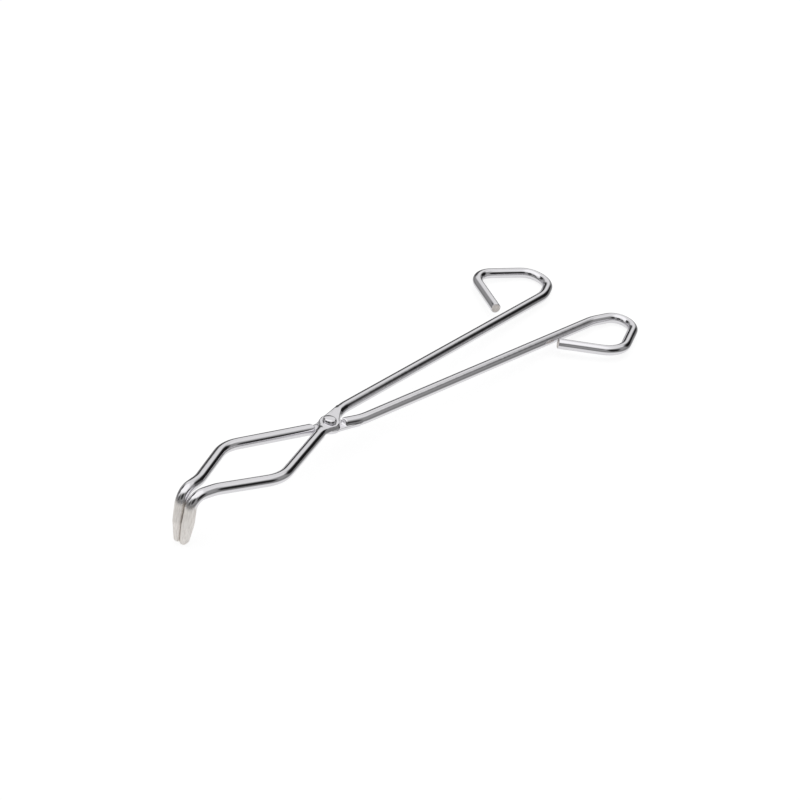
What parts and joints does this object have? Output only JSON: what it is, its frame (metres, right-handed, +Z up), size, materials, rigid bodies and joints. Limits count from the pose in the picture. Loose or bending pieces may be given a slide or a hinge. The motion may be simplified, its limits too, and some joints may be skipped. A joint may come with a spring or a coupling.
{
  "type": "crucible tongs",
  "caption": "Closed crucible tongs of bent round rod: lapped and riveted arms, bowed jaws with bent-down flat tips, and an open triangular finger loop at the end of each handle.",
  "frame": {"origin": "centre of the footprint, on the surface that the closed tongs stand on", "axes": "+X from the jaws to the finger loops, +Y to the side of the upper arm's handle, +Z up from the surface; the rods' plane slopes down towards the loops by 3.8 degrees"},
  "size_m": [0.3186, 0.0904, 0.0255],
  "materials": {
    "arm_metal": "bright polished plated steel rod, jaw tips satin",
    "rivet_metal": "bright polished plated steel"
  },
  "bodies": {
    "lower_arm": {"lower_arm": "arm_metal", "pivot_rivet": "rivet_metal"},
    "upper_arm": {"upper_arm": "arm_metal"}
  },
  "joints": [
    {"name": "pivot", "type": "hinge", "parent": "lower_arm", "child": "upper_arm", "pos_m": [-0.06008, -0.0034, 0.01698], "axis": [0.0662, 0, 0.9978], "range_deg": [0, 60]}
  ]
}
